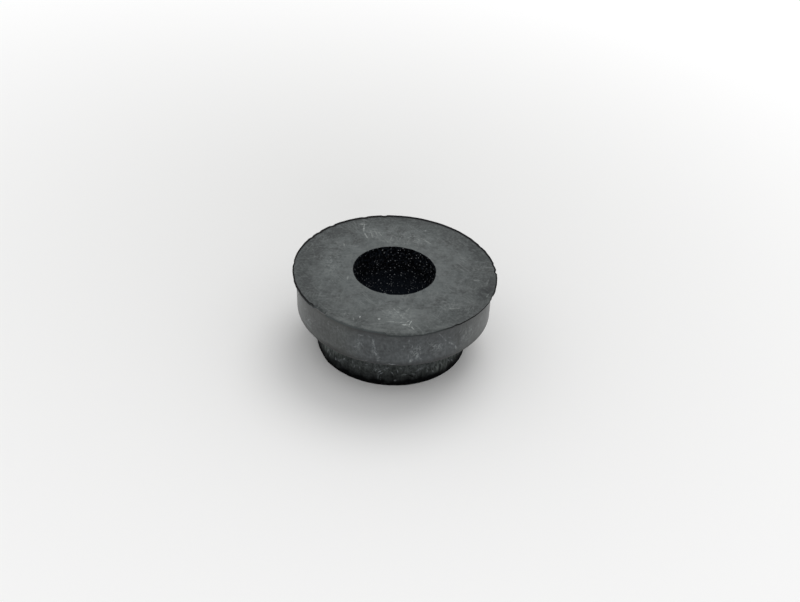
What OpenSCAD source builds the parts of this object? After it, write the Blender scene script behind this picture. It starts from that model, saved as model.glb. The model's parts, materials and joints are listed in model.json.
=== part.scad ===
// Rubber bushing: a flange on a spigot, with one bore right through, moulded in one piece.
// It stands on the spigot's foot, at z = 0, with the bore's axis on Z. Lengths are in millimetres.

/* [Flange] */
// Diameter of the flange's wall, below the flash
flange_d = 38; // [34:0.5:60]
// Thickness of the flange, from its underside to the bearing face
flange_t = 8.5; // [4:0.5:16]
// Radius that rounds the flange's lower edge
flange_edge_r = 0.8; // [0.2:0.1:1.5]

/* [Spigot] */
// Diameter of the spigot that fills the hole in the mating plate
spigot_d = 30; // [20:0.1:32]
// Length of the spigot, from its foot to the flange's underside
spigot_h = 8; // [3:0.5:30]
// Radius that rounds the spigot's foot
spigot_edge_r = 0.1; // [0.1:0.1:1]
// Radius of the fillet between the spigot and the flange's underside
root_r = 0.5; // [0.1:0.1:0.9]

/* [Bore] */
// Diameter of the bore that takes the bolt sleeve
bore_d = 16; // [6:0.5:18]
// Radius that rounds both mouths of the bore
bore_edge_r = 0.1; // [0.05:0.05:0.8]

/* [Flash] */
// How far the moulding flash stands out past the flange's wall
flash_reach = 0.9; // [0.3:0.05:1.5]
// Thickness of the flash along its torn edge
flash_edge_t = 0.35; // [0.15:0.05:0.6]
// Thickness of the flash where it leaves the wall
flash_root_t = 0.6; // [0.6:0.05:1.5]
// How far the flash still stands out where it was pared back
pared_reach = 0.5; // [0.1:0.05:1.4]
// How far the flash still stands out where a piece of it is missing
stump_reach = 0.1; // [0.05:0.05:0.3]
// Radius of the rim where that piece is missing
stump_edge_r = 0.4; // [0.1:0.05:0.5]
// Width of the bite that one tear takes out of the flash's edge
tear_w = 1.2; // [0.8:0.1:3]
// Depth of the deepest tear
tear_depth = 0.25; // [0.05:0.05:0.8]

/* [Hidden] */
$fn = 180;

flange_r = flange_d / 2;
spigot_r = spigot_d / 2;
bore_r = bore_d / 2;
flash_r = flange_r + flash_reach;
total_h = spigot_h + flange_t;

// Angles from +X between which a piece of the flash is missing, and between which it was pared back.
// The pared stretch starts inside the missing one, so that no film of flash is left between them.
STUMP = [223, 232];
PARED = [228, 268];

// Each tear's angle from +X, and how deep it is as a share of the deepest one.
TEARS = [
    [5, 0.8], [12, 0.4], [32, 0.6], [99, 0.9], [111, 0.9], [133, 0.8], [144, 0.7],
    [151, 0.6], [180, 0.3], [221, 1], [291, 0.4], [307, 0.6], [342, 0.5]
];

// How far the cutters reach past the surfaces that they cut through.
overshoot = 1;

// The waste between a sharp corner at the origin and a round of radius r that fits inside it.
// The body lies towards +X and +Y of the corner.
module corner_waste(r) {
    difference() {
        square(r);
        translate([r, r]) circle(r);
    }
}

// Half of the bushing's section, with the radius along X and the height along Y.
module section() {
    difference() {
        union() {
            square([spigot_r, spigot_h]);
            translate([0, spigot_h]) square([flange_r, flange_t]);
            translate([spigot_r, spigot_h]) rotate(270) corner_waste(root_r);
            flash_section();
        }
        square([bore_r, total_h]);
        translate([bore_r, 0]) corner_waste(bore_edge_r);
        translate([bore_r, total_h]) rotate(270) corner_waste(bore_edge_r);
        translate([spigot_r, 0]) rotate(90) corner_waste(spigot_edge_r);
        translate([flange_r, spigot_h]) rotate(90) corner_waste(flange_edge_r);
    }
}

// The thin lip that was squeezed out level with the bearing face. It tapers towards its edge.
module flash_section() {
    polygon([
        [bore_r + bore_edge_r, total_h],
        [bore_r + bore_edge_r, total_h - flash_root_t],
        [flange_r, total_h - flash_root_t],
        [flash_r, total_h - flash_edge_t],
        [flash_r, total_h]
    ]);
}

// What is gone from the flash along one stretch of the rim, between two angles. The flash still
// stands out by left there, and edge_r rounds its upper edge.
module lost_stretch(angles, left, edge_r) {
    edge = flange_r + min(left, flash_reach);
    rotate([0, 0, angles[0]])
        rotate_extrude(angle = angles[1] - angles[0]) {
            translate([edge, total_h - flash_root_t - overshoot])
                square([flash_reach + overshoot, flash_root_t + 2 * overshoot]);
            translate([edge, total_h]) rotate(180) corner_waste(edge_r);
        }
}

// One round bite out of the flash's edge, of the given depth, at +X.
module tear(depth) {
    radius = (pow(tear_w / 2, 2) + pow(depth, 2)) / (2 * depth);
    translate([flash_r - depth + radius, 0, total_h - flash_root_t - overshoot])
        cylinder(r = radius, h = flash_root_t + 2 * overshoot);
}

module bushing() {
    color("#575b5a")
        difference() {
            rotate_extrude() section();
            lost_stretch(STUMP, stump_reach, stump_edge_r);
            lost_stretch(PARED, pared_reach, flash_edge_t / 2);
            for (t = TEARS)
                rotate([0, 0, t[0]]) tear(min(tear_depth, flash_reach) * t[1]);
        }
}

bushing();
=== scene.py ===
# %% [markdown]
# # A moulded rubber bushing
# A bushing like this one sits in a plate, with its spigot in the hole and its flange on the plate's
# face, and a bolt sleeve runs through its bore. It was pressed in a two-part mould from black,
# carbon-filled rubber. The mould left a thin lip of flash round the top face, and handling tore it.
#
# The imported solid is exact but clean. This lesson puts one detailed mesh in its place, with the torn
# flash, the slightly uneven rubber and the grain of the bore, and then makes its finishes.

# %% Load the frame
import json
import math

import bpy
from mathutils import Matrix, Vector, noise


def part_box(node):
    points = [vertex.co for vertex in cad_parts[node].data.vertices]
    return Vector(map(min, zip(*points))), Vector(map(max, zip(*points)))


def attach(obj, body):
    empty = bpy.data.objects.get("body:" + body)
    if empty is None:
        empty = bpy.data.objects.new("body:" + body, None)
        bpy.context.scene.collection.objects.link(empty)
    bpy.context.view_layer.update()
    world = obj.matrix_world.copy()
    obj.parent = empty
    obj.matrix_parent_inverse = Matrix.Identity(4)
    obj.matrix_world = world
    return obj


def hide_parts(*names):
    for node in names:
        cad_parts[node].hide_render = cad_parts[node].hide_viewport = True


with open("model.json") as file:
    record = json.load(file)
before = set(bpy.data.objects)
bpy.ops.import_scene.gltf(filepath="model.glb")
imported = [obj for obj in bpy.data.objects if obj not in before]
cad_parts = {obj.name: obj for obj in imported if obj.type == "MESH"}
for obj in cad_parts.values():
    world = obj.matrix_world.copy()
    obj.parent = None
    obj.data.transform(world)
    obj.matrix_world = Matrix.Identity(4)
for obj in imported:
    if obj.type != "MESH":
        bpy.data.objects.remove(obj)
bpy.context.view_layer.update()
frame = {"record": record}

# %% [markdown]
# ## Sizes
# The places where the bushing meets other parts come with the frame: the bore, the spigot and the
# flange's seat. The rest of the section is named here, in millimetres, and everything below is
# worked out from these values.

# %% Name the sizes
MM = 0.001
interfaces = {mount["name"]: mount for mount in frame["record"]["mounts"]}
_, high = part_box("bushing")

bore_r = interfaces["bore"]["dims"]["r_mm"]
spigot_r = interfaces["spigot"]["dims"]["r_mm"]
spigot_h = interfaces["flange_seat"]["pos_m"][2] / MM
total_h = high.z / MM
flange_r = 19.0
flange_edge_r = 0.8
spigot_edge_r = 0.1
root_r = 0.5
bore_edge_r = 0.1
flash_reach = 0.9
flash_edge_t = 0.35
flash_root_t = 0.6
print(f"bore {2 * bore_r} mm, spigot {2 * spigot_r} mm, {total_h:.1f} mm tall")

# %% [markdown]
# ## The section
# Everything on the bushing is round about one axis, so its surface is one outline swept in a full
# turn. Blender's Screw modifier could sweep a fixed outline. Here the outline is worked out afresh
# at each angle, because the flash reaches further in one place than in another, and each point is
# then moved a little, because rubber is never quite true.
#
# The outline is a list of stretches. Each has a name, which later picks its finish, and enough
# points to carry its detail: many in the grainy bore, few on the flat underside. A short step beside
# each rounded corner keeps the corner's shading off the flat next to it.

# %% Draw the outline


def straight(start, end, steps):
    """Points on a line, without its last point."""
    (r0, z0), (r1, z1) = start, end
    return [(r0 + (r1 - r0) * i / steps, z0 + (z1 - z0) * i / steps) for i in range(steps)]


def rounded(centre, radius, start, end, steps):
    """Points on an arc between two angles in degrees, without its last point."""
    points = []
    for i in range(steps):
        angle = math.radians(start + (end - start) * i / steps)
        points.append((centre[0] + radius * math.cos(angle), centre[1] + radius * math.sin(angle)))
    return points


mouth_r = bore_r + bore_edge_r
seat_in_r = spigot_r + root_r
seat_out_r = flange_r - flange_edge_r
foot_out_r = spigot_r - spigot_edge_r
flash_root = total_h - flash_root_t
flash_foot = total_h - flash_edge_t
BESIDE = 0.12  # the short step beside a rounded corner
RIM_STRIP = 0.6  # the strip along the rim that has the finest steps
FINER_FROM = flange_r - 1.0  # the radius from which the face's steps get shorter


def section_at(reach, edge_r):
    """The outline where the flash stands out by reach and its upper edge is rounded by edge_r."""
    edge = flange_r + reach
    edge_foot = flash_root + (flash_foot - flash_root) * reach / flash_reach
    outline = [
        ("bore", straight((bore_r, bore_edge_r), (bore_r, total_h - bore_edge_r), 60)),
        ("bore", rounded((mouth_r, total_h - bore_edge_r), bore_edge_r, 180, 90, 3)),
        ("face", straight((mouth_r, total_h), (mouth_r + BESIDE, total_h), 1)),
        ("face", straight((mouth_r + BESIDE, total_h), (FINER_FROM, total_h), 20)),
        ("face", straight((FINER_FROM, total_h), (edge - RIM_STRIP, total_h), 6)),
        ("face", straight((edge - RIM_STRIP, total_h), (edge - edge_r, total_h), 8)),
        ("face", rounded((edge - edge_r, total_h - edge_r), edge_r, 90, 0, 4)),
        ("torn_edge", straight((edge, total_h - edge_r), (edge, edge_foot), 3)),
        ("torn_edge", straight((edge, edge_foot), (flange_r, flash_root), 4)),
        ("wall", straight((flange_r, flash_root), (flange_r, spigot_h + flange_edge_r), 16)),
        ("wall", rounded((seat_out_r, spigot_h + flange_edge_r), flange_edge_r, 0, -90, 7)),
        ("wall", straight((seat_out_r, spigot_h), (seat_out_r - BESIDE, spigot_h), 1)),
        ("wall", straight((seat_out_r - BESIDE, spigot_h), (seat_in_r, spigot_h), 3)),
        ("spigot", rounded((seat_in_r, spigot_h - root_r), root_r, 90, 180, 4)),
        ("spigot", straight((spigot_r, spigot_h - root_r), (spigot_r, spigot_edge_r), 20)),
        ("spigot", rounded((foot_out_r, spigot_edge_r), spigot_edge_r, 0, -90, 3)),
        ("spigot", straight((foot_out_r, 0), (foot_out_r - BESIDE, 0), 1)),
        ("spigot", straight((foot_out_r - BESIDE, 0), (mouth_r, 0), 3)),
        ("bore", rounded((mouth_r, bore_edge_r), bore_edge_r, 270, 180, 2)),
    ]
    return [(r, z, name) for name, points in outline for r, z in points]


print(len(section_at(flash_reach, flash_edge_t / 2)), "points in the section")

# %% [markdown]
# ## The torn flash
# Flash is the film of rubber that squeezes out where the two halves of a mould meet. Here it leaves
# a lip level with the top face. Nobody trimmed it with care: it has small tears all round, one piece
# is missing down to the wall, and beside that a knife pared it back.
#
# The lip's reach is therefore a function of the angle round the rim. The mould's halves met a
# little off centre, which makes it wider on one side. The tears are the ones in the solid, and a
# little noise between them gives the ragged line of torn rubber. Where the lip is torn, its upper
# edge is nearly sharp. Where it is missing or pared, the edge is softer.

# %% Say how far the flash reaches at each angle
TEAR_DEPTH = 0.25
TEAR_WIDTH = 1.2
TEARS = [
    (5, 0.8), (12, 0.4), (32, 0.6), (99, 0.9), (111, 0.9), (133, 0.8), (144, 0.7),
    (151, 0.6), (180, 0.3), (221, 1), (291, 0.4), (307, 0.6), (342, 0.5),
]  # angle from +X in degrees, and depth as a share of the deepest tear
STUMP = (223, 232, 0.1, 0.4)  # from, to, how far the flash still stands out, radius of its edge
PARED = (232, 268, 0.5, flash_edge_t / 2)
SHOULDER = 1.0  # degrees over which such a stretch starts
TORN_EDGE_R = 0.06
RAGGED_WAVES = [(7.0, 0.05), (1.3, 0.06), (0.6, 0.03)]  # length and height of the rim's waves
OFF_CENTRE = (-20, 0.12)  # the side where the lip is wider, in degrees, and by how much


def ramp(value, start, end):
    """0 before start, 1 after end, and a soft step between them."""
    share = min(max((value - start) / (end - start), 0), 1)
    return share * share * (3 - 2 * share)


def within(angle, start, end, fade=SHOULDER):
    """1 on a stretch of the rim, 0 off it, with a soft step at its start and a fade at its end."""
    half = SHOULDER / 2
    return ramp(angle, start - half, start + half) * (1 - ramp(angle, end - fade / 2, end + fade / 2))


def reach_at(angle):
    """How far the flash stands out past the wall, at an angle in degrees."""
    turn = math.radians(angle)
    on_rim = Vector((math.cos(turn), math.sin(turn), 0)) * flange_r
    widest, off_centre = OFF_CENTRE
    reach = flash_reach - off_centre * (1 - math.cos(turn - math.radians(widest)))
    for length, height in RAGGED_WAVES:
        reach += height * noise.noise(on_rim / length)
    for at, share in TEARS:
        away = abs((angle - at + 180) % 360 - 180) * math.pi / 180 * flange_r
        reach -= TEAR_DEPTH * share * max(0, 1 - (2 * away / TEAR_WIDTH) ** 2)
    for start, end, left, _ in (STUMP, PARED):
        reach += (left - reach) * within(angle, start, end)
    return reach


def edge_r_at(angle):
    """The radius of the flash's upper edge, at an angle in degrees."""
    radius = TORN_EDGE_R
    for start, end, _, edge_r in (STUMP, PARED):
        radius += (edge_r - radius) * within(angle, start, end)
    return radius


reaches = [reach_at(angle) for angle in range(360)]
print(f"the flash stands out {min(reaches):.2f} to {max(reaches):.2f} mm")

# %% [markdown]
# ## Raw rubber along the rim
# Torn rubber is blacker than the skin that was moulded. It shows on the lip's edge, and where the
# lip was torn from above, as a thin line along the top face too. At the front, handling has rubbed
# the edge grey again. A number on each point of the mesh says how raw the rubber is there. The
# finishes read it, so the line follows every tear. Each rubbed stretch has its two ends and the
# length of its fade, in degrees, and how far it is rubbed.

# %% Say where raw rubber shows
RAW_LINE = 0.27  # width of the line on the top face, at the sides
WIDER_BEHIND = 0.55  # how much wider it is at the back
LINE_SOFTNESS = 0.3  # how far its inner edge fades to either side, as a share of its width
TORN_FROM_ABOVE = (-24, 222.5)  # where the line shows, in degrees
LINE_FADE_IN = 12  # degrees over which it starts
RUBBED = [(204, 222.5, 1, 0.35), (222.5, 268, 1, 0.85), (268, 303, 14, 0.55)]


def raw_at(angle, name, inset):
    """How raw the rubber is at a point that lies inset mm inside the flash's edge."""
    if name == "torn_edge":
        return 1 - sum(share * within(angle, start, end, fade) for start, end, fade, share in RUBBED)
    if name != "face":
        return 0
    start, end = TORN_FROM_ABOVE
    turned = (angle - start) % 360 + start
    shown = ramp(turned, start, start + LINE_FADE_IN) * (1 - ramp(turned, end, end + SHOULDER))
    width = RAW_LINE + WIDER_BEHIND * max(0, math.sin(math.radians(angle)))
    return shown * (1 - ramp(inset, width * (1 - LINE_SOFTNESS), width * (1 + LINE_SOFTNESS)))


print("raw at the back of the rim:", raw_at(90, "face", 0), "and at its front:", raw_at(270, "face", 0))

# %% [markdown]
# ## Uneven rubber
# Moulded rubber is never quite true. The flange swells and dips by a few hundredths of a
# millimetre, the spigot came out of a rougher part of the mould and spreads a little at its foot,
# and the bore's core pin was rough enough to leave a coarse grain. Noise that is read at each
# point's own place gives the unevenness without a seam.
#
# Four larger faults have places of their own. At the front, the lip was bent down a little. At the
# front of the bore's upper mouth, whose edge is a little ragged all round, a burr stands a little
# way into the hole. On the left, the spigot's foot is pressed in. And the flange's lower edge lies
# a little to the right, because the halves of the mould did not quite meet.

# %% Say how far each point strays from the section
UNEVEN = {
    "face": [(8.0, 0.02), (1.5, 0.01)],
    "torn_edge": [(0.9, 0.02)],
    "wall": [(7.0, 0.04), (1.6, 0.015)],
    "spigot": [(3.0, 0.03), (0.9, 0.035)],
    "bore": [(1.1, 0.03), (0.5, 0.04)],
}  # for each stretch, the length and the height of its waves
FOOT_SPREAD = (-0.14, 0.08)  # how far the spigot strays at its root and at its foot
DROOP = (268, 300, 12, 0.38)  # from, to, the degrees of its fade, and how far the lip's edge hangs
BURR = (259.5, 5.0, 0.22)  # middle and length in degrees, and how far it stands into the bore
MOUTH_WAVES = [(2.5, 0.10), (0.9, 0.07)]  # length and height of the waves of the mouth's edge
MOUTH_OUT = 0.6  # how far from that edge the face follows it
MOUTH_DOWN = 0.5  # how far below that edge the bore follows it
GRAIN_FULL = 1.2  # how far inside its mouths the bore has its full grain
FLAT = (188, 60, 0.40)  # middle and length in degrees, and how far the foot is pressed in
LEAN = Vector((0.24, 0, 0))  # how far the flange's lower edge lies off the bore's axis


def stray(point, name):
    """How far the surface strays outwards at a point."""
    return sum(height * noise.noise(point / length) for length, height in UNEVEN[name])


def droop_at(angle):
    """How far the flash's edge hangs below the top face."""
    start, end, fade, depth = DROOP
    down = ramp(angle, start - SHOULDER / 2, start + SHOULDER)
    return depth * down * (1 - ramp(angle, end - fade, end))


def swell_at(angle, swell):
    """How high a swelling is, given its middle and length in degrees and its height."""
    middle, length, tallest = swell
    return tallest * max(0, 1 - (2 * (angle - middle) / length) ** 2)


def mouth_at(angle):
    """How far the edge of the upper mouth stands into the bore."""
    turn = math.radians(angle)
    on_mouth = Vector((math.cos(turn), math.sin(turn), 0)) * bore_r
    ragged = sum(height * noise.noise(on_mouth / length) for length, height in MOUTH_WAVES)
    return swell_at(angle, BURR) + ragged


print(f"the lip droops {droop_at(275):.2f} mm, the burr stands in {mouth_at(259):.2f} mm")

# %% [markdown]
# ## One mesh
# The section is now placed at each angle. Each point is moved by the rules above, and each four
# neighbours make a face. The face keeps its stretch's name as a material number, so that the
# finishes can differ without a cut in the rubber. Where the top face is raw, it counts as torn edge.

# %% Sweep the section into a mesh
STEPS_ROUND = 560
STRETCHES = ["face", "torn_edge", "wall", "spigot", "bore"]
SINK = sum(height for _, height in UNEVEN["face"])  # keeps the uneven face under the solid's top
HALF_RAW = 2  # the sum over a face's four corners above which it counts as torn


def moved(radius, height, name, angle):
    """Where a point of the section comes to lie, in mm."""
    turn = math.radians(angle)
    outward = Vector((math.cos(turn), math.sin(turn), 0))
    upward = Vector((0, 0, 1))
    point = outward * radius + upward * height
    if name in ("face", "torn_edge"):
        on_lip = max(radius - flange_r, 0) / flash_reach
        point -= upward * droop_at(angle) * on_lip ** 2
    if name == "face":
        on_mouth = max(0, 1 - (radius - bore_r) / MOUTH_OUT)
        point -= outward * mouth_at(angle) * on_mouth
        return point + upward * (stray(point, name) - SINK)
    if name == "bore":
        from_mouth = min(height, total_h - height)
        near_top = max(0, 1 - (total_h - height) / MOUTH_DOWN)
        point -= outward * mouth_at(angle) * near_top
        return point - outward * stray(point, name) * ramp(from_mouth, bore_edge_r, GRAIN_FULL)
    if name == "spigot" and radius > foot_out_r - BESIDE:
        at_root, at_foot = FOOT_SPREAD
        point += outward * (at_foot + (at_root - at_foot) * height / spigot_h)
        point -= outward * swell_at(angle, FLAT) * (1 - height / spigot_h)
    if name == "wall":
        on_seat = ramp(radius, seat_in_r, seat_out_r)
        point += LEAN * on_seat * (flash_root - height) / (flash_root - spigot_h)
    if height <= 0 or height == spigot_h:
        return point
    return point + outward * stray(point, name)


points, raw, faces, stretch_of_face = [], [], [], []
for i in range(STEPS_ROUND):
    angle = 360 * i / STEPS_ROUND
    edge = flange_r + reach_at(angle)
    for radius, height, name in section_at(edge - flange_r, edge_r_at(angle)):
        points.append(moved(radius, height, name, angle) * MM)
        raw.append(raw_at(angle, name, edge - radius))
names = [name for _, _, name in section_at(flash_reach, TORN_EDGE_R)]
rings = len(names)
for i in range(STEPS_ROUND):
    here, there = i * rings, (i + 1) % STEPS_ROUND * rings
    for j in range(rings):
        after = (j + 1) % rings
        corners = (here + j, here + after, there + after, there + j)
        faces.append(corners)
        torn = names[j] == "face" and sum(raw[corner] for corner in corners) > HALF_RAW
        stretch_of_face.append(STRETCHES.index("torn_edge" if torn else names[j]))

mesh = bpy.data.meshes.new("moulded_bushing")
mesh.from_pydata(points, [], faces)
mesh.polygons.foreach_set("material_index", stretch_of_face)
mesh.polygons.foreach_set("use_smooth", [True] * len(faces))
mesh.attributes.new("raw", "FLOAT", "POINT").data.foreach_set("value", raw)
mesh.update()
bushing = bpy.data.objects.new("moulded_bushing", mesh)
bpy.context.scene.collection.objects.link(bushing)
print(len(points), "points,", len(faces) * 2, "triangles")

# %% [markdown]
# ## Tools for the finishes
# A finish is a small graph of nodes. One function adds a node, and another fills a node's sockets
# with values and links. Colours are written as sRGB hex, as a colour picker shows them, and Blender
# wants them linear, so one function turns them.

# %% Define the node and colour helpers
MIX_UNDER, MIX_OVER, MIX_RESULT = 6, 7, 2  # the colour sockets of a Mix node


def linear(hex_colour):
    """A colour such as #3a3c3d as the linear RGBA that a socket takes."""
    channels = [int(hex_colour[i:i + 2], 16) / 255 for i in (1, 3, 5)]
    return [c / 12.92 if c <= 0.04045 else ((c + 0.055) / 1.055) ** 2.4 for c in channels] + [1]


def wire(tree, node, sockets):
    """Fills sockets by name, each with a value, a hex colour, or another node's output to link."""
    for name, value in sockets.items():
        if isinstance(value, bpy.types.NodeSocket):
            tree.links.new(value, node.inputs[name])
        elif isinstance(value, str):
            node.inputs[name].default_value = linear(value)
        else:
            node.inputs[name].default_value = value


def add(tree, kind, sockets=None, **settings):
    """Adds a node, with its settings and its sockets."""
    made = tree.nodes.new(kind)
    for name, value in settings.items():
        setattr(made, name, value)
    wire(tree, made, sockets or {})
    return made


def new_material(name):
    """An empty material, its node tree and its Principled shader, wired to the output."""
    material = bpy.data.materials.new(name)
    material.use_nodes = True
    tree = material.node_tree
    tree.nodes.clear()
    shader = add(tree, "ShaderNodeBsdfPrincipled")
    add(tree, "ShaderNodeOutputMaterial", {"Surface": shader.outputs["BSDF"]})
    print("making", name)
    return material, tree, shader


def place_in_mm(tree):
    """The surface point in millimetres, so that every pattern below can be sized in them."""
    where = add(tree, "ShaderNodeTexCoord").outputs["Object"]
    return add(tree, "ShaderNodeVectorMath", {0: where, "Scale": 1 / MM}, operation="SCALE").outputs[0]


def layered(tree, base, layers):
    """Layers of colour. Each has a mask, its strength or a second mask, and the colour it brings."""
    colour = base
    for mask, strength, over in layers:
        share = add(tree, "ShaderNodeMath", {0: mask, 1: strength}, operation="MULTIPLY").outputs[0]
        mixed = add(tree, "ShaderNodeMix", {
            "Factor": share, MIX_UNDER: colour, MIX_OVER: over}, data_type="RGBA")
        colour = mixed.outputs[MIX_RESULT]
    return colour


print("#808080 is", [round(c, 3) for c in linear("#808080")], "linear")

# %% [markdown]
# ## Patterns of used rubber
# The same few patterns make up all of the finishes, each at its own size.
#
# - Clouds are soft blotches of noise: bloom, wear and stains.
# - Hairlines are fine scratches. They are drawn where a stretched noise crosses one level, so they
#   bend, taper and break off as real ones do, where plain stretched noise gives a straight weave.
#   Clouds keep them to patches.
# - Marks are scuffs, stains, and patches of painted shade and painted light, in known places. Each is a
#   soft ellipse: the point is taken into the ellipse's own frame, and its distance from the middle says
#   how pale it is. A little noise in the place that they are drawn at roughens their outlines.
# - Grain is a bump too fine for the mesh.
#
# Real hairlines are a few hundredths of a millimetre wide, and the skin's grain is as fine. Both are
# drawn several times as coarse, because finer ones would not show.

# %% Define the patterns
NOISE_MEAN = 0.5  # the value that the noise lies about, and the level that a hairline follows
LINE_REACH = 0.035  # how far off that level the line still shows
LINE_RATIO = 6  # how many times its width the noise across a hairline measures


def clouds(tree, where, size, low, high, detail=2.0, seed=0.0):
    """A mask of blotches of one size in mm: 0 where the noise is under low, 1 where it is over high."""
    spots = add(tree, "ShaderNodeTexNoise", {
        "Vector": where, "W": seed, "Scale": 1 / size, "Detail": detail}, noise_dimensions="4D")
    return add(tree, "ShaderNodeMapRange", {
        "Value": spots.outputs["Fac"], "From Min": low, "From Max": high}).outputs["Result"]


def hairlines(tree, where, turn, length, width, seed):
    """Fine scratches of one length and width in mm, along X once turned by three angles in degrees."""
    along = add(tree, "ShaderNodeMapping", {
        "Vector": where, "Rotation": [math.radians(angle) for angle in turn],
        "Scale": (length, LINE_RATIO * width, LINE_RATIO * width)}, vector_type="TEXTURE").outputs[0]
    level = add(tree, "ShaderNodeTexNoise", {
        "Vector": along, "W": seed, "Scale": 1.0, "Detail": 1.0}, noise_dimensions="4D")
    above = add(tree, "ShaderNodeMath", {0: level.outputs["Fac"], 1: NOISE_MEAN}, operation="SUBTRACT")
    away = add(tree, "ShaderNodeMath", {0: above.outputs[0]}, operation="ABSOLUTE")
    line = add(tree, "ShaderNodeMapRange", {
        "Value": away.outputs[0], "From Min": LINE_REACH, "From Max": 0.0}).outputs["Result"]
    kept = clouds(tree, where, length * 0.6, 0.46, 0.62, seed=seed + 7)
    return add(tree, "ShaderNodeMath", {0: line, 1: kept}, operation="MULTIPLY").outputs[0]


def marks(tree, where, listed, core=0.3):
    """Marks on a flat place, each with its middle, angle, length, width and strength."""
    best = None
    for middle, angle, length, width, strength in listed:
        own = add(tree, "ShaderNodeMapping", {
            "Vector": where, "Location": (*middle, 0), "Rotation": (0, 0, math.radians(angle)),
            "Scale": (length / 2, width / 2, 1)}, vector_type="TEXTURE")
        away = add(tree, "ShaderNodeVectorMath", {0: own.outputs[0]}, operation="LENGTH")
        mask = add(tree, "ShaderNodeMapRange", {
            "Value": away.outputs["Value"], "From Min": core, "From Max": 1.0,
            "To Min": strength, "To Max": 0.0}, interpolation_type="SMOOTHSTEP").outputs["Result"]
        if best:
            mask = add(tree, "ShaderNodeMath", {0: best, 1: mask}, operation="MAXIMUM").outputs[0]
        best = mask
    return best


def wandering(tree, where, size, reach):
    """The same place, moved a little by noise, so that what is drawn there gets a rough outline."""
    wave = add(tree, "ShaderNodeTexNoise", {"Vector": where, "Scale": 1 / size, "Detail": 2.0})
    shift = add(tree, "ShaderNodeVectorMath", {
        0: wave.outputs["Color"], 1: (NOISE_MEAN,) * 3}, operation="SUBTRACT")
    return add(tree, "ShaderNodeVectorMath", {
        0: shift.outputs[0], 1: (reach,) * 3, 2: where}, operation="MULTIPLY_ADD").outputs[0]


def unrolled(tree, where, radius):
    """A round wall laid flat: X is the arc from the front in mm, and Y is the height."""
    apart = add(tree, "ShaderNodeSeparateXYZ", {0: where})
    x, y, z = apart.outputs
    front = add(tree, "ShaderNodeMath", {0: y, 1: -1.0}, operation="MULTIPLY").outputs[0]
    turn = add(tree, "ShaderNodeMath", {0: x, 1: front}, operation="ARCTAN2").outputs[0]
    arc = add(tree, "ShaderNodeMath", {0: turn, 1: radius}, operation="MULTIPLY").outputs[0]
    return add(tree, "ShaderNodeCombineXYZ", {0: arc, 1: z}).outputs[0]


def grain(tree, where, size, depth, detail=2.0):
    """The normal of a surface with a grain of one size and depth in mm."""
    height = add(tree, "ShaderNodeTexNoise", {"Vector": where, "Scale": 1 / size, "Detail": detail})
    return add(tree, "ShaderNodeBump", {
        "Height": height.outputs["Fac"], "Strength": 1.0, "Distance": depth * MM}).outputs[0]
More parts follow.
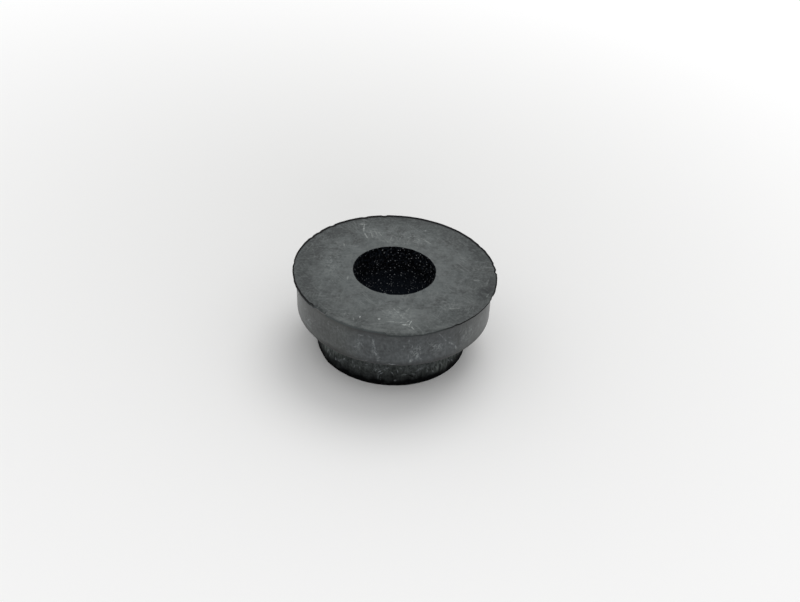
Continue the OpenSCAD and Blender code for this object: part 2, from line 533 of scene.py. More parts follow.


# %% [markdown]
# ## The bearing face: what is where
# Use has left its traces on the top face: patches rubbed paler, single scratches and knocks, small pale
# spots, places scuffed in specks, and darker stains along the rim. Each was placed one by one, so these
# are plain lists. Every entry has its middle in mm, its angle in degrees, its length, its width and its
# strength.
# Painted light along the front of the rim is listed with the rubbed patches.

# %% Place the marks on the bearing face
RUBBED_PATCHES_AND_PAINTED_LIGHT = [
    ((1.5, -15.4), 0, 20, 12, 1.0),
    ((-8.0, -12.5), 130, 13, 8, 0.6),
    ((-5.0, 12.4), 110, 8, 6, 0.7),
    ((5.5, 11.0), 140, 8, 4, 0.6),
    ((0.0, 10.2), 0, 8, 3, 0.5),
    ((13.5, -9.0), 30, 7, 4, 0.4),
    ((-13.0, -1.0), 90, 8, 5, 0.4),
    ((8.8, 7.4), 130, 10, 5, 0.6),
    # These last four paint light along the front of the rim, where the pared and drooping lip turns away
    # from the lamp.
    ((-8.1, -17.2), 155, 9, 2.6, 0.9),
    ((-2.7, -18.8), 172, 9, 2.6, 1.0),
    ((3.3, -18.7), 10, 9, 2.6, 1.0),
    ((9.0, -16.8), 28, 8, 2.4, 0.7),
]
FACE_MARKS = [
    ((-6.9, 14.0), 92, 3.6, 0.45, 0.7),
    ((-7.2, 15.4), 2, 2.2, 0.40, 0.7),
    ((-6.3, 11.3), 112, 3.2, 0.45, 0.5),
    ((-5.2, 11.8), 104, 3.4, 0.36, 0.28),
    ((-4.3, 12.4), 112, 3.4, 0.36, 0.28),
    ((-3.5, 12.2), 118, 2.6, 0.36, 0.28),
    ((-1.2, 11.2), 84, 3.0, 0.36, 0.2),
    ((0.8, 11.6), 70, 3.2, 0.36, 0.2),
    ((6.2, 10.5), 135, 2.8, 0.50, 0.5),
    ((5.6, 14.6), 5, 1.1, 0.45, 0.45),
    ((-10.4, 7.4), 100, 1.9, 0.40, 0.4),
    ((-8.8, -3.6), 88, 1.8, 0.45, 0.35),
    ((15.8, -1.5), -4, 1.6, 0.40, 0.5),
    ((18.0, -1.8), 75, 2.6, 0.60, 0.2),
    ((17.9, -6.2), 70, 1.9, 0.36, 0.25),
    ((11.6, -11.0), 5, 3.2, 0.50, 0.25),
    ((2.7, -16.9), 3, 1.5, 0.70, 0.7),
    ((3.6, -16.4), 72, 2.5, 0.32, 0.8),
    ((3.1, -16.0), 50, 1.5, 0.30, 0.6),
    ((4.1, -17.7), 125, 1.5, 0.40, 0.6),
    ((3.2, -17.3), 150, 1.2, 0.30, 0.5),
    ((1.9, -14.5), 125, 2.0, 0.60, 0.35),
    ((0.6, -12.6), 123, 2.4, 0.36, 0.25),
    ((1.5, -12.0), 133, 2.0, 0.30, 0.2),
    ((-0.3, -13.4), 118, 2.0, 0.30, 0.25),
    ((2.4, -13.6), 20, 1.6, 0.30, 0.25),
    ((3.0, -12.4), 62, 2.0, 0.36, 0.3),
    ((1.0, -14.9), 150, 1.8, 0.30, 0.3),
    ((0.4, -16.3), 0, 3.0, 0.50, 0.35),
    ((2.0, -16.3), 12, 1.8, 0.40, 0.4),
    ((-6.7, -16.3), 92, 1.3, 0.36, 0.25),
    ((-8.4, -15.0), 88, 1.6, 0.40, 0.2),
]
FACE_SPOTS = [
    ((-5.6, -15.5), 80, 0.7, 0.28, 0.6),
    ((-2.1, -15.75), 5, 0.7, 0.34, 0.8),
    ((1.3, -13.3), 30, 0.7, 0.36, 0.3),
]
SCUFFED_FACE = [
    ((1.2, -14.0), 0, 8.0, 6.0, 0.45),
    ((-5.0, 12.4), 100, 6.0, 5.0, 0.4),
    ((3.5, 11.5), 150, 9.0, 4.0, 0.5),
    ((11.0, -10.5), 5, 6.0, 3.0, 0.35),
    ((-7.5, -15.2), 20, 6.0, 3.0, 0.3),
    ((-12.0, 1.0), 90, 12.0, 5.0, 0.4),
    ((0.0, 9.6), 0, 9.0, 2.4, 0.5),
]
STAINED = [
    ((17.8, -4.5), 78, 13.0, 5.0, 1.0),
    ((-16.0, 4.0), 80, 15.0, 6.0, 0.5),
    ((3.0, 17.8), 170, 14.0, 2.4, 0.6),
    ((9.8, 13.3), 90, 3.0, 3.0, 0.6),
    ((15.3, 9.0), 120, 14.0, 4.4, 0.6),
    ((-16.8, -4.6), 105, 12.0, 4.4, 0.6),
    ((-13.4, 11.4), 40, 10.0, 5.0, 0.5),
]
print(len(FACE_MARKS), "scratches and", len(FACE_SPOTS), "spots on the bearing face")

# %% [markdown]
# ## The bearing face: bloomed rubber
# Black rubber for such parts is filled with carbon black, which makes it nearly black right through. Wax
# and sulphur creep out of it over the months and leave a grey haze, the bloom, which is what the eye
# sees on the top face. It lies in clouds, thinner and darker towards the rim, and paler where the face
# was rubbed: round the bore, where a washer turned, and on the patches beside it. Along the front of the
# rim, where the lip is pared and droops away from the lamp, light is painted on. Scratches and knocks
# show paler still.
#
# Rubber's IOR is about 1.52. The powdery bloom scatters light widely and dulls the skin beneath, so
# it is rough and its shine is turned down.

# %% Make the bearing face
RUBBER_IOR = 1.52
RAW_RUBBER = "#060607"
WASHER_RING = (bore_r + 4.0, bore_r + 0.5)  # radii where the rubbing starts and is full
THIN_BLOOM = (flange_r - 5.5, flange_r - 0.5)  # radii where the bloom starts to thin, and is thinnest


def make_bearing_face():
    """The bloomed skin, with the black line of raw rubber along the rim."""
    material, tree, shader = new_material("bloomed_rubber")
    where = place_in_mm(tree)
    flat = add(tree, "ShaderNodeVectorMath", {0: where, 1: (1, 1, 0)}, operation="MULTIPLY").outputs[0]
    rough_place = wandering(tree, flat, 0.5, 0.3)
    from_axis = add(tree, "ShaderNodeVectorMath", {0: flat}, operation="LENGTH").outputs["Value"]
    washer_ring, thin_bloom = [
        add(tree, "ShaderNodeMapRange", {
            "Value": from_axis, "From Min": start, "From Max": full}).outputs["Result"]
        for start, full in (WASHER_RING, THIN_BLOOM)]
    raw_rubber = add(tree, "ShaderNodeAttribute", attribute_name="raw").outputs["Fac"]
    bloom = clouds(tree, where, 4.5, 0.38, 0.62)
    broken = clouds(tree, where, 0.35, 0.35, 0.55, seed=8)
    specks = clouds(tree, where, 0.45, 0.48, 0.62, seed=9)
    blotches = clouds(tree, where, 1.0, 0.36, 0.58, seed=10)
    colour = layered(tree, "#2f3333", [
        (bloom, 0.8, "#4e5353"),
        (clouds(tree, where, 1.8, 0.42, 0.60, seed=3), 0.7, "#555a5a"),
        (thin_bloom, 0.72, "#2b2f2f"),
        (washer_ring, 0.4, "#595e5e"),
        # Rubbed patches, and light painted along the front of the rim.
        (marks(tree, rough_place, RUBBED_PATCHES_AND_PAINTED_LIGHT, core=0.0), 0.55, "#666b6a"),
        (clouds(tree, where, 0.5, 0.42, 0.70, seed=5), 0.4, "#666b6a"),
        (clouds(tree, where, 1.0, 0.53, 0.73, seed=6), 0.5, "#24282a"),
        (hairlines(tree, where, (0, 0, 8), 7.0, 0.15, 1), 0.35, "#747978"),
        (hairlines(tree, where, (0, 0, 76), 5.0, 0.15, 2), 0.3, "#747978"),
        (hairlines(tree, where, (0, 0, 132), 6.0, 0.15, 4), 0.35, "#747978"),
        (marks(tree, rough_place, SCUFFED_FACE, core=0.2), specks, "#7c8180"),
        (marks(tree, flat, STAINED, core=0.2), blotches, "#202425"),
        (marks(tree, rough_place, FACE_MARKS), broken, "#a5aaa8"),
        (marks(tree, flat, FACE_SPOTS), 1.0, "#c8cccb"),
        (raw_rubber, 1.0, RAW_RUBBER),
    ])
    rough = add(tree, "ShaderNodeMapRange", {"Value": bloom, "To Min": 0.55, "To Max": 0.68})
    wire(tree, shader, {
        "Base Color": colour, "Roughness": rough.outputs["Result"], "IOR": RUBBER_IOR,
        "Specular IOR Level": 0.3, "Normal": grain(tree, where, size=0.25, depth=0.012)})
    return material


face_finish = make_bearing_face()

# %% [markdown]
# ## The flange's wall: what is where
# The wall's scuffs run mostly up and down, from being pushed into boxes. Round the worst of them the
# skin is scuffed in specks. Two pale lines on its lower edge are a painted highlight. Dark patches paint
# shade along that edge and under the lip, and a few broader ones darken larger stretches. Away from the
# plain front, the wall takes dust and painted light. The lists are like the face's, but a middle is now
# the arc from the front and the height, as on a wall laid flat.

# %% Place the marks on the wall
WALL_MARKS = [
    ((-3.6, 14.5), 165, 1.4, 0.45, 0.45),
    ((-2.8, 13.2), 102, 2.4, 0.55, 0.6),
    ((-2.5, 11.8), 94, 2.0, 0.40, 0.5),
    ((-2.3, 10.8), 112, 1.6, 0.50, 0.75),
    ((-1.7, 9.9), 25, 1.2, 0.36, 0.4),
    ((-1.9, 9.3), 15, 1.6, 0.36, 0.4),
    ((-5.5, 12.4), 65, 1.4, 0.45, 0.5),
    ((-6.3, 11.4), 20, 1.5, 0.40, 0.4),
    ((-5.4, 14.4), 8, 1.6, 0.50, 0.35),
    ((-10.4, 14.3), 25, 1.8, 0.50, 0.4),
    ((-12.2, 14.3), 70, 1.6, 0.50, 0.3),
    ((3.65, 14.0), 98, 1.4, 0.45, 0.5),
    ((4.35, 12.8), 84, 1.5, 0.50, 0.6),
    ((2.8, 12.9), 130, 0.9, 0.40, 0.45),
    ((2.5, 12.3), 10, 1.0, 0.36, 0.35),
    ((4.1, 11.7), 5, 1.0, 0.60, 0.7),
    ((3.7, 10.6), 95, 1.4, 0.45, 0.5),
    ((4.25, 9.5), 45, 1.0, 0.75, 1.0),
    ((5.2, 12.2), 88, 2.6, 0.42, 0.65),
    ((5.8, 12.0), 100, 2.4, 0.42, 0.55),
    ((5.4, 10.6), 80, 2.0, 0.65, 0.85),
    ((6.0, 9.8), 150, 1.2, 0.50, 0.6),
    ((8.6, 12.1), 160, 1.6, 0.40, 0.55),
    ((9.7, 12.2), 30, 1.2, 0.36, 0.45),
    ((8.2, 11.3), 10, 1.4, 0.36, 0.45),
    ((9.5, 11.3), 150, 2.2, 0.40, 0.45),
    ((9.9, 14.2), 128, 2.6, 0.36, 0.45),
    ((10.9, 12.8), 130, 1.6, 0.36, 0.5),
    ((12.2, 11.6), 138, 2.4, 0.45, 0.7),
    ((13.4, 10.2), 112, 1.8, 0.45, 0.8),
    ((11.7, 13.2), 140, 1.2, 0.36, 0.4),
    ((14.2, 13.6), 60, 1.4, 0.40, 0.35),
    ((15.0, 11.6), 55, 2.6, 1.40, 0.3),
    # These two pale lines paint a highlight on the wall's rounded lower edge.
    ((0.8, 8.72), -1, 3.0, 0.30, 0.8),
    ((-4.3, 8.75), 12, 1.6, 0.30, 0.5),
    ((-18.6, 9.9), 2, 3.6, 0.45, 0.55),
    ((-18.2, 11.3), 40, 2.2, 0.45, 0.5),
    ((-19.6, 13.0), 35, 2.6, 0.50, 0.3),
    ((-16.2, 12.4), 38, 2.4, 0.36, 0.3),
    ((-14.6, 11.9), 30, 1.6, 0.40, 0.3),
    ((17.2, 12.6), 130, 3.0, 0.50, 0.3),
    ((20.0, 11.6), 125, 2.6, 0.45, 0.3),
    ((-26.0, 12.6), 80, 3.2, 0.70, 0.3),
    ((31.0, 11.2), 110, 3.8, 0.60, 0.35),
    ((39.5, 13.0), 70, 2.4, 0.70, 0.3),
    ((46.0, 10.4), 20, 3.2, 0.60, 0.35),
    ((-38.0, 10.6), 125, 3.6, 0.60, 0.35),
    ((-47.0, 13.2), 95, 2.6, 0.80, 0.3),
    ((-54.0, 9.8), 10, 3.0, 0.60, 0.3),
]
SCUFFED_WALL = [
    ((5.2, 11.3), 92, 5.0, 3.0, 0.9),
    ((9.3, 12.0), 160, 5.0, 3.0, 0.8),
    ((-5.6, 12.2), 80, 4.4, 2.6, 0.6),
    ((-2.6, 12.0), 96, 6.0, 2.0, 0.6),
    ((-10.5, 13.6), 20, 5.0, 2.4, 0.4),
    ((-18.0, 11.0), 20, 7.0, 4.0, 0.75),
    ((16.5, 12.0), 130, 7.0, 4.6, 0.75),
    ((36.0, 12.0), 100, 9.0, 4.0, 0.6),
    ((21.0, 13.4), 115, 5.0, 3.0, 0.6),
    ((-22.0, 12.6), 60, 5.0, 3.0, 0.5),
    ((-42.0, 12.0), 80, 9.0, 4.0, 0.6),
]
# Painted shade along the wall's lower edge and under the lip at the right. The last three are broader
# and darken larger stretches of the wall.
SHADE_AND_DARK_PATCHES = [
    ((-11.0, 8.2), 0, 13.0, 3.6, 0.9),
    ((11.0, 8.2), 0, 9.0, 3.0, 0.6),
    ((12.5, 15.6), -2, 9.0, 2.4, 0.5),
    ((12.5, 13.6), 0, 15.0, 6.0, 0.3),
    ((0.0, 12.5), 0, 15.0, 8.0, 0.2),
    ((-16.0, 12.0), 0, 18.0, 12.0, 0.33),
]
# The plain front. Away from it the wall takes dust and light painted on its sides.
PLAIN_FRONT = [((3.5, 12.0), 0, 28.0, 60.0, 1.0)]  # so much taller than the wall that it ends only sideways
print(len(WALL_MARKS), "scuffs on the wall")

# %% [markdown]
# ## The flange's wall: rubbed rubber
# The wall came off the mould's polished side and has been handled more, so it has less bloom and a
# slightly tighter shine than the face. It is mottled, with faint upright streaks from leaving the mould.
# Shade is painted on it under the lip and towards the seat, so it is darker along both edges. Away from
# the front it is a little paler and warmer: partly dust, and partly light painted on its sides.
#
# The fine dust also catches the light where the wall turns away, which is what a sheen does. The
# rounded lower edge has none, because the mating plate wipes it.

# %% Make the wall
WALL_STREAKS = (0.45, 0.45, 4.0)  # the streaks' width, both ways, and their height in mm
# Painted shade: under the lip, deeper just under it, towards the seat, and deeper at the seat.
PAINTED_WALL_SHADE = [
    (total_h - 3.1, total_h - 0.9, 0.6, "#1a1c1e"),
    (total_h - 1.5, total_h - 0.9, 0.6, "#0c0d0e"),
    (spigot_h + 1.7, spigot_h + 0.1, 0.7, "#1a1c1e"),
    (spigot_h + 1.2, spigot_h + 0.5, 0.5, "#0c0d0e"),
]  # the heights where each shade starts and is full, its strength and its colour
SHEEN = (spigot_h + 0.4, spigot_h + 1.4, 0.16)  # the heights where it starts and is full, and its weight


def make_wall():
    """The rubbed skin with scuffs, dark patches and dust, painted shade along both edges and painted
    light on its sides.
    """
    material, tree, shader = new_material("rubbed_rubber")
    where = place_in_mm(tree)
    upright = add(tree, "ShaderNodeMapping", {
        "Vector": where, "Scale": WALL_STREAKS}, vector_type="TEXTURE").outputs[0]
    height = add(tree, "ShaderNodeSeparateXYZ", {0: where}).outputs[2]
    painted_shades = []
    for start, full, strength, shade in PAINTED_WALL_SHADE:
        fade = add(tree, "ShaderNodeMapRange", {"Value": height, "From Min": start, "From Max": full})
        painted_shades.append((fade.outputs["Result"], strength, shade))
    flat = unrolled(tree, where, flange_r)
    rough_place = wandering(tree, flat, 0.5, 0.45)
    broken = clouds(tree, where, 0.35, 0.36, 0.56, seed=8)
    specks = clouds(tree, where, 0.45, 0.50, 0.62, seed=9)
    plain_front = marks(tree, flat, PLAIN_FRONT, core=0.5)
    dust_and_side_light = add(tree, "ShaderNodeMath", {0: 1.0, 1: plain_front}, operation="SUBTRACT").outputs[0]
    colour = layered(tree, "#272b2e", [
        (clouds(tree, where, 3.5, 0.38, 0.62), 0.7, "#3f4447"),
        (clouds(tree, upright, 1.0, 0.45, 0.75), 0.35, "#565b5c"),
        (clouds(tree, where, 0.6, 0.42, 0.72, seed=2), 0.56, "#5c6162"),
        (hairlines(tree, where, (0, 70, 0), 3.0, 0.2, 3), 0.35, "#6c7172"),
        (marks(tree, rough_place, SCUFFED_WALL, core=0.2), specks, "#6f7576"),
        # Painted shade under the lip and towards the seat.
        *painted_shades,
        # Dust, and light painted on the sides away from the front.
        (dust_and_side_light, 0.26, "#484a42"),
        # Painted shade along the lower edge and under the lip, and broader dark patches.
        (marks(tree, flat, SHADE_AND_DARK_PATCHES, core=0.0), 1.0, "#0e0f10"),
        (marks(tree, rough_place, WALL_MARKS), broken, "#7b8082"),
    ])
    sheen_from, sheen_full, sheen_weight = SHEEN
    sheen = add(tree, "ShaderNodeMapRange", {
        "Value": height, "From Min": sheen_from, "From Max": sheen_full, "To Max": sheen_weight})
    wire(tree, shader, {
        "Base Color": colour, "Roughness": 0.5, "IOR": RUBBER_IOR,
        "Sheen Weight": sheen.outputs["Result"], "Sheen Roughness": 0.4,
        "Normal": grain(tree, where, size=0.3, depth=0.014)})
    return material


wall_finish = make_wall()

# %% [markdown]
# ## The torn edge: raw rubber
# Where the flash tore, the rubber's inside shows: no bloom, no mould skin, only carbon-black rubber
# with a fine broken surface. It is the darkest line on the part. Where the lip was pared back or is
# missing, the cut has been rubbed nearly as grey as the wall.

# %% Make the torn edge


def make_torn_edge():
    """Raw rubber, greyer where it has been rubbed."""
    material, tree, shader = new_material("torn_rubber")
    where = place_in_mm(tree)
    raw_rubber = add(tree, "ShaderNodeAttribute", attribute_name="raw").outputs["Fac"]
    colour = layered(tree, "#4a4f50", [
        (clouds(tree, where, 1.0, 0.4, 0.7), 0.4, "#5a5f60"),
        (raw_rubber, 1.0, RAW_RUBBER),
        (clouds(tree, where, 0.4, 0.55, 0.85, seed=1), 0.25, "#4c5051"),
    ])
    wire(tree, shader, {
        "Base Color": colour, "Roughness": 0.7, "IOR": RUBBER_IOR,
        "Specular IOR Level": 0.1, "Normal": grain(tree, where, size=0.3, depth=0.03)})
    return material


torn_finish = make_torn_edge()

# %% [markdown]
# ## The spigot: what is where
# Pale drag marks from leaving the mould cover the spigot's upper part. There is one black cut, and
# the sides are bloomed. The lists are like the wall's.

# %% Place the marks on the spigot
SPIGOT_MARKS = [
    ((-1.5, 3.2), 42, 1.5, 0.30, 0.9),
    ((-1.1, 2.9), 40, 1.3, 0.26, 0.7),
    ((-2.2, 3.5), 45, 0.8, 0.26, 0.6),
    ((-0.2, 4.1), 28, 1.6, 0.26, 0.55),
    ((1.0, 3.0), 122, 1.3, 0.36, 0.6),
    ((1.95, 3.6), 95, 1.3, 0.36, 0.6),
    ((2.5, 4.2), 150, 0.8, 0.30, 0.4),
    ((3.3, 2.65), 2, 1.6, 0.36, 0.5),
    ((5.0, 2.6), 148, 1.8, 0.30, 0.4),
    ((6.3, 3.4), 20, 2.2, 0.80, 0.4),
    ((8.0, 2.8), 92, 2.0, 0.60, 0.4),
    ((9.3, 1.9), 115, 0.9, 0.50, 0.7),
    ((10.1, 2.5), 120, 1.4, 0.36, 0.55),
    ((11.2, 3.0), 125, 2.0, 0.40, 0.35),
    ((13.3, 2.7), 130, 1.8, 0.40, 0.6),
    ((14.4, 2.1), 125, 1.8, 0.36, 0.5),
    ((-11.1, 2.4), 80, 1.0, 0.55, 0.7),
    ((-9.0, 3.6), 52, 1.3, 0.36, 0.6),
    ((-10.0, 2.7), 40, 1.6, 0.60, 0.4),
    ((-12.8, 2.3), 70, 1.6, 0.40, 0.45),
    ((-13.6, 2.7), 58, 2.0, 0.45, 0.6),
    ((-7.0, 3.9), 85, 1.2, 0.36, 0.45),
    ((-6.6, 2.9), 75, 1.4, 0.36, 0.35),
    ((-5.4, 3.1), 92, 1.2, 0.36, 0.45),
    ((-4.0, 4.3), 20, 1.2, 0.30, 0.4),
    ((1.6, 1.3), 0, 0.8, 0.60, 0.4),
    ((-1.7, 1.9), 92, 1.6, 0.26, 0.35),
    ((-1.2, 1.8), 88, 1.8, 0.26, 0.3),
]
SPIGOT_CUT = [((4.7, 2.15), 146, 2.2, 0.36, 1.0)]
SPIGOT_BLOOM = [
    ((-13.5, 3.8), 14, 13.0, 4.6, 1.0),
    ((14.5, 4.2), -12, 14.0, 5.4, 1.0),
    ((11.3, 2.3), -6, 9.0, 3.2, 0.8),
    ((34.0, 4.0), 4, 20.0, 6.0, 0.7),
    ((-34.0, 4.0), -4, 20.0, 6.0, 0.7),
]
print(len(SPIGOT_MARKS), "drag marks on the spigot")

# %% [markdown]
# ## The spigot: rough-moulded rubber
# The spigot's half of the mould was not polished, so the rubber took its tool marks, and its rough skin
# traps light: its shine is turned down. Towards the foot it gets darker and then black, up to an edge
# that wanders.

# %% Make the spigot
SPIGOT_STREAKS = (0.3, 0.3, 2.0)
FOOT_DARKENING = (5.1, 2.3)  # heights where it starts to darken and where it is black, with the wave added
FOOT_DARKENING_WAVE = (1.4, 3.0)  # length and height of the waves of that edge


def make_spigot():
    """The rough skin, with its drag marks, darker towards its black foot."""
    material, tree, shader = new_material("rough_moulded_rubber")
    where = place_in_mm(tree)
    upright = add(tree, "ShaderNodeMapping", {
        "Vector": where, "Scale": SPIGOT_STREAKS}, vector_type="TEXTURE").outputs[0]
    height = add(tree, "ShaderNodeSeparateXYZ", {0: where}).outputs[2]
    wave_length, wave_height = FOOT_DARKENING_WAVE
    wave = add(tree, "ShaderNodeTexNoise", {"Vector": where, "Scale": 1 / wave_length, "Detail": 2.0})
    level = add(tree, "ShaderNodeMath", {
        0: wave.outputs["Fac"], 1: wave_height, 2: height}, operation="MULTIPLY_ADD").outputs[0]
    darkening_from, black_from = FOOT_DARKENING
    foot_darkening = add(tree, "ShaderNodeMapRange", {
        "Value": level, "From Min": darkening_from, "From Max": black_from}).outputs["Result"]
    flat = unrolled(tree, where, spigot_r)
    rough_place = wandering(tree, flat, 0.6, 0.3)
    broken = clouds(tree, where, 0.35, 0.34, 0.54, seed=8)
    streaks = clouds(tree, upright, 1.0, 0.36, 0.66)
    colour = layered(tree, "#252828", [
        (clouds(tree, where, 1.4, 0.42, 0.60), 0.6, "#3b3e3f"),
        (streaks, 0.3, "#616563"),
        (clouds(tree, where, 0.5, 0.45, 0.68, seed=1), 0.5, "#555958"),
        (hairlines(tree, where, (0, 50, 10), 6.0, 0.12, 2), 0.4, "#6c7073"),
        (hairlines(tree, where, (0, 130, -10), 6.0, 0.12, 5), 0.4, "#6c7073"),
        # Darker towards the foot, and black at it.
        (foot_darkening, 0.97, "#020203"),
        (marks(tree, rough_place, SPIGOT_BLOOM, core=0.1), streaks, "#636865"),
        (marks(tree, rough_place, SPIGOT_MARKS), broken, "#7e8285"),
        (marks(tree, rough_place, SPIGOT_CUT), 1.0, "#020203"),
    ])
    wire(tree, shader, {
        "Base Color": colour, "Roughness": 0.6, "IOR": RUBBER_IOR,
        "Specular IOR Level": 0.02, "Normal": grain(tree, where, size=0.5, depth=0.10, detail=3.0)})
    return material


spigot_finish = make_spigot()

# %% [markdown]
# ## The bore: grained rubber with painted glints and light
# The core pin that shaped the bore left a coarse grain. Little light gets in, so the wall reads as
# black. The pale specks on the grain are painted glints, and the bluish paleness further down is painted
# light. The mesh carries the grain, and the finish adds its finer part and the specks.
#
# A cell pattern has one point in each cell, and those that lie close to the surface show as dots, each
# with a brightness of its own. Real glints on such grain are far finer, and are drawn as coarse as they
# need to be to show.

# %% Make the bore
SPECK_APART = 0.45  # mm between specks
SPECK_R = 0.155
SPECK_CONTRAST = 2.3  # the higher it is, the fewer of the specks are bright
GLINTS_BY_HEIGHT = (9.0, 0.35, 0.8)  # the height where the painted glints are full, their strength at the top, and there
PAINTED_LIGHT_BELOW = (11.5, 5.5)  # heights where the light painted lower in the bore starts and is full


def make_bore():
    """The grained skin, nearly black, with painted glints and painted light lower down."""
    material, tree, shader = new_material("grained_rubber")
    where = place_in_mm(tree)
    height = add(tree, "ShaderNodeSeparateXYZ", {0: where}).outputs[2]
    cells = add(tree, "ShaderNodeTexVoronoi", {"Vector": where, "Scale": 1 / SPECK_APART})
    dot = add(tree, "ShaderNodeMapRange", {
        "Value": cells.outputs["Distance"], "From Min": SPECK_R / SPECK_APART,
        "From Max": 0.5 * SPECK_R / SPECK_APART}).outputs["Result"]
    chance = add(tree, "ShaderNodeSeparateColor", {0: cells.outputs["Color"]}).outputs[0]
    bright = add(tree, "ShaderNodeMath", {0: chance, 1: SPECK_CONTRAST}, operation="POWER").outputs[0]
    painted_glints = add(tree, "ShaderNodeMath", {0: dot, 1: bright}, operation="MULTIPLY").outputs[0]
    full_at, at_top, full = GLINTS_BY_HEIGHT
    glint_share = add(tree, "ShaderNodeMapRange", {
        "Value": height, "From Min": total_h, "From Max": full_at,
        "To Min": at_top, "To Max": full}).outputs["Result"]
    light_from, light_full = PAINTED_LIGHT_BELOW
    light_below = add(tree, "ShaderNodeMapRange", {
        "Value": height, "From Min": light_from, "From Max": light_full}).outputs["Result"]
    colour = layered(tree, "#010102", [
        # Painted light, pale and bluish, lower in the bore.
        (light_below, 1.0, "#262d37"),
        (clouds(tree, where, 0.4, 0.47, 0.72), 0.7, "#2a3038"),
        # Pale specks that paint glints on the grain, more of them lower down.
        (painted_glints, glint_share, "#d4d8dd"),
    ])
    wire(tree, shader, {
        "Base Color": colour, "Roughness": 0.5, "IOR": RUBBER_IOR,
        "Specular IOR Level": 0.04, "Normal": grain(tree, where, size=0.3, depth=0.06)})
    return material


bore_finish = make_bore()

# %% [markdown]
# ## Dress the bushing
# The finishes go on in the order of the stretches' numbers. The mesh rides on the bushing's only body
# and stands for its solid, which is hidden.

# %% Put the finishes on and place the piece
finishes = {
    "face": face_finish, "torn_edge": torn_finish, "wall": wall_finish,
    "spigot": spigot_finish, "bore": bore_finish,
}
for name in STRETCHES:
    mesh.materials.append(finishes[name])
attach(bushing, "root")
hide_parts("bushing")
print("finishes:", [material.name for material in mesh.materials])

# %% [markdown]
# ## The floor
# A pale matt board, large enough to fill the view, so that all that shows of it is its colour and the
# bushing's soft shadow. A wide shade is painted on it too: it is slightly greyer under and behind the
# bushing than further out.

# %% Lay the floor
FLOOR_SIZE = 3.0  # metres
# The painted shade round the bushing is greyest here and gone this far away.
GREYEST_AT = (-10, 50, 0)  # mm
WHITE_FROM = 160  # mm from there


def make_floor():
    """One large square, with its pale finish."""
    sheet = bpy.data.meshes.new("floor")
    half = FLOOR_SIZE / 2
    corners = [(-half, -half, 0), (half, -half, 0), (half, half, 0), (-half, half, 0)]
    sheet.from_pydata(corners, [], [(0, 1, 2, 3)])
    material, tree, shader = new_material("pale_board")
    away = add(tree, "ShaderNodeVectorMath", {0: place_in_mm(tree), 1: GREYEST_AT}, operation="DISTANCE")
    further = add(tree, "ShaderNodeMapRange", {
        "Value": away.outputs["Value"], "From Min": 0.0, "From Max": WHITE_FROM}).outputs["Result"]
    # Painted shade: greyer near the bushing, white further out.
    colour = layered(tree, "#e2e2e1", [(further, 1.0, "#fdfdfd")])
    wire(tree, shader, {"Base Color": colour, "Roughness": 0.9, "Specular IOR Level": 0.0})
    sheet.materials.append(material)
    board = bpy.data.objects.new("floor", sheet)
    bpy.context.scene.collection.objects.link(board)
    return board


floor = make_floor()
print(f"the floor is {FLOOR_SIZE:.1f} m wide")

# %% [markdown]
# ## The light
# One large soft lamp hangs above and behind the bushing, a little to its right, and a pale
# surround fills the rest. Together they light the floor at the plain level, where a surface shows
# the colour that it was given: a lamp's watts are worked out from that, by the light that a glowing
# disk casts on a point before its middle. The lamp stands behind, so the front wall and the bore
# stay dark and the shadow comes forward. The surround is brighter behind than in front by the same
# share, which leaves the light on level faces as it is and darkens the front further.

# %% Hang the lamp and set the surround
SURROUND = 0.80  # the pale surround's share of the plain level
SURROUND_TILT = 0.15  # how much brighter it is straight behind, and darker in front
LAMP_TOWARDS = Vector((0.22, 0.55, 1.0)).normalized()
LAMP_AWAY = 0.8  # metres
LAMP_WIDTH = 0.56


def hang_lamp():
    """A soft disk of light, as strong as the surround leaves room for."""
    lamp = bpy.data.lights.new("soft_lamp", "AREA")
    lamp.shape = "DISK"
    lamp.size = LAMP_WIDTH
    wanted = (1 - SURROUND) * math.pi
    lamp.energy = wanted * math.pi * (LAMP_AWAY ** 2 + (LAMP_WIDTH / 2) ** 2) / LAMP_TOWARDS.z
    hung = bpy.data.objects.new("soft_lamp", lamp)
    hung.location = LAMP_TOWARDS * LAMP_AWAY
    hung.rotation_euler = LAMP_TOWARDS.to_track_quat("Z", "Y").to_euler()
    bpy.context.scene.collection.objects.link(hung)
    print(f"lamp of {lamp.energy:.1f} W")


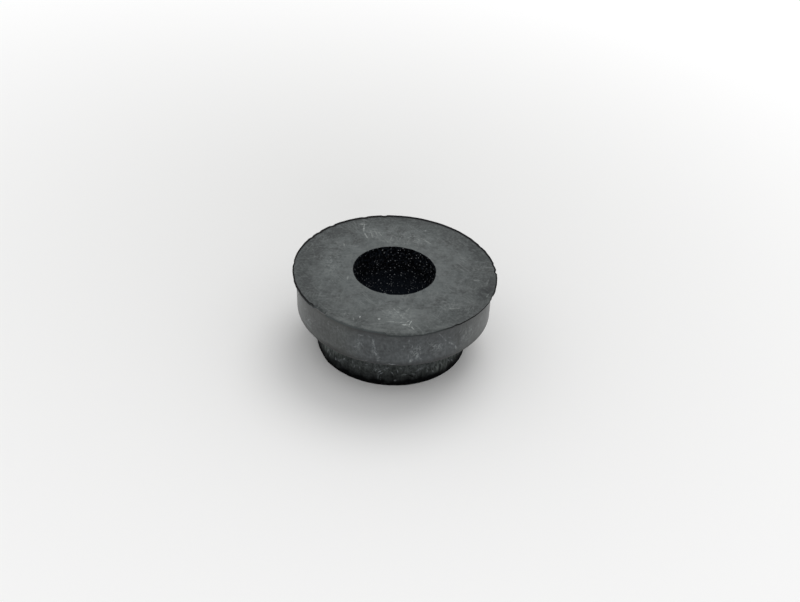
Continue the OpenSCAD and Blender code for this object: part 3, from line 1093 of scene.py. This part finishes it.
def set_surround():
    """A pale fill all round that lights the piece, and plain white where it is seen."""
    world = bpy.data.worlds.new("surround")
    world.use_nodes = True
    tree = world.node_tree
    tree.nodes.clear()
    path = add(tree, "ShaderNodeLightPath").outputs
    seen = add(tree, "ShaderNodeMath", {
        0: path["Is Camera Ray"], 1: path["Is Transmission Ray"]}, operation="MAXIMUM").outputs[0]
    direction = add(tree, "ShaderNodeTexCoord").outputs["Generated"]
    behind = add(tree, "ShaderNodeSeparateXYZ", {0: direction}).outputs[1]
    level = add(tree, "ShaderNodeMath", {
        0: behind, 1: SURROUND * SURROUND_TILT, 2: SURROUND}, operation="MULTIPLY_ADD").outputs[0]
    fill = add(tree, "ShaderNodeBackground", {"Color": "#ffffff", "Strength": level})
    white = add(tree, "ShaderNodeBackground", {"Color": "#ffffff", "Strength": 1.0})
    mix = add(tree, "ShaderNodeMixShader", {0: seen, 1: fill.outputs[0], 2: white.outputs[0]})
    add(tree, "ShaderNodeOutputWorld", {"Surface": mix.outputs[0]})
    bpy.context.scene.world = world


hang_lamp()
set_surround()
bpy.context.scene.view_settings.view_transform = "Standard"

# %% [markdown]
# ## The camera
# The view is that of a hand-held phone: from 37 degrees above, about 210 mm away and slightly
# tilted, so that the bushing seems to lean to the right. The camera is placed from the middle of
# the top face: back along the line of sight, then aside and down until the bushing is in its place.

# %% Place the camera
SIGHT_ELEVATION = 36.82  # degrees
SIGHT_ROLL = 4.04
SIGHT_DISTANCE = 208.5  # mm
SIGHT_ASIDE = 1.46
SIGHT_LOW = 5.94
SENSOR_WIDTH = 36.0  # in the camera's own millimetres
FOCAL_LENGTH = 48.5
NEAREST_SEEN = 0.01  # metres


def place_camera():
    """Places the camera by the sizes above, and looks through it."""
    up_angle, roll = math.radians(SIGHT_ELEVATION), math.radians(SIGHT_ROLL)
    forward = Vector((0, math.cos(up_angle), -math.sin(up_angle)))
    level = Vector((1, 0, 0))
    upward = level.cross(forward)
    target = Vector((0, 0, total_h))
    spot = target - forward * SIGHT_DISTANCE + level * SIGHT_ASIDE - upward * SIGHT_LOW
    side = level * math.cos(roll) + upward * math.sin(roll)
    top = side.cross(forward)
    lens = bpy.data.cameras.new("camera")
    lens.sensor_width = SENSOR_WIDTH
    lens.lens = FOCAL_LENGTH
    lens.clip_start = NEAREST_SEEN
    camera = bpy.data.objects.new("camera", lens)
    turned = Matrix((side, top, -forward)).transposed()
    camera.matrix_world = Matrix.Translation(spot * MM) @ turned.to_4x4()
    bpy.context.scene.collection.objects.link(camera)
    bpy.context.scene.camera = camera
    print("camera at", [round(v, 1) for v in spot], "mm")


place_camera()
